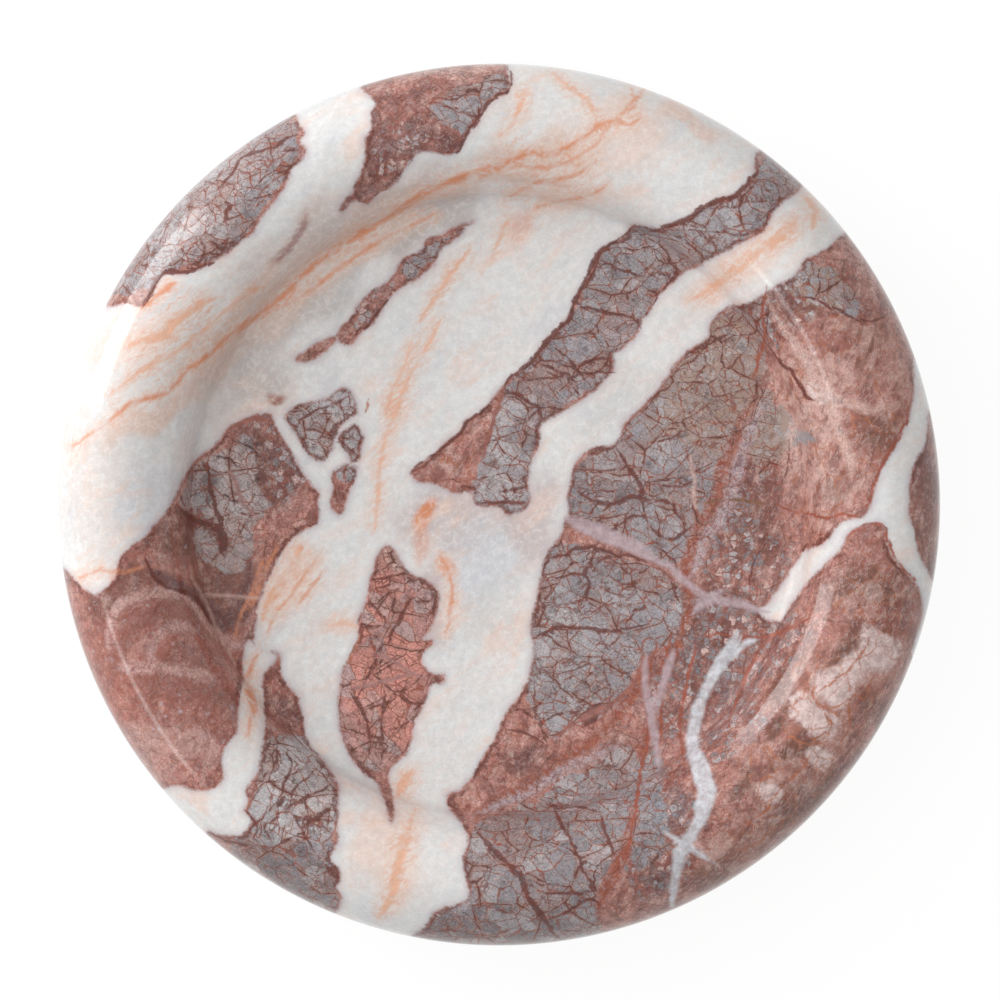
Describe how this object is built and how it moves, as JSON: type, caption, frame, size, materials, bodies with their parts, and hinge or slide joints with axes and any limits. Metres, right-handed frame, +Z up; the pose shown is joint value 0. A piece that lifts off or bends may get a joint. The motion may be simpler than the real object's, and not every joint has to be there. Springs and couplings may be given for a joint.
{
  "type": "bowl",
  "caption": "Round, shallow bowl turned from one block of veined breccia marble, with a fat rolled rim, a wide dish and a flat foot on felt pads.",
  "frame": {"origin": "on the surface that the bowl stands on, under the middle of the bowl", "axes": "+Z up along the axis that the bowl is turned about, +X to the right and +Y to the top of the picture"},
  "size_m": [0.3, 0.3, 0.0638],
  "materials": {
    "polished_stone": "polished",
    "pad_felt": "matte"
  },
  "bodies": {
    "root": {"bowl_body": "polished_stone", "felt_pad_1": "pad_felt", "felt_pad_2": "pad_felt", "felt_pad_3": "pad_felt", "felt_pad_4": "pad_felt"}
  },
  "joints": []
}
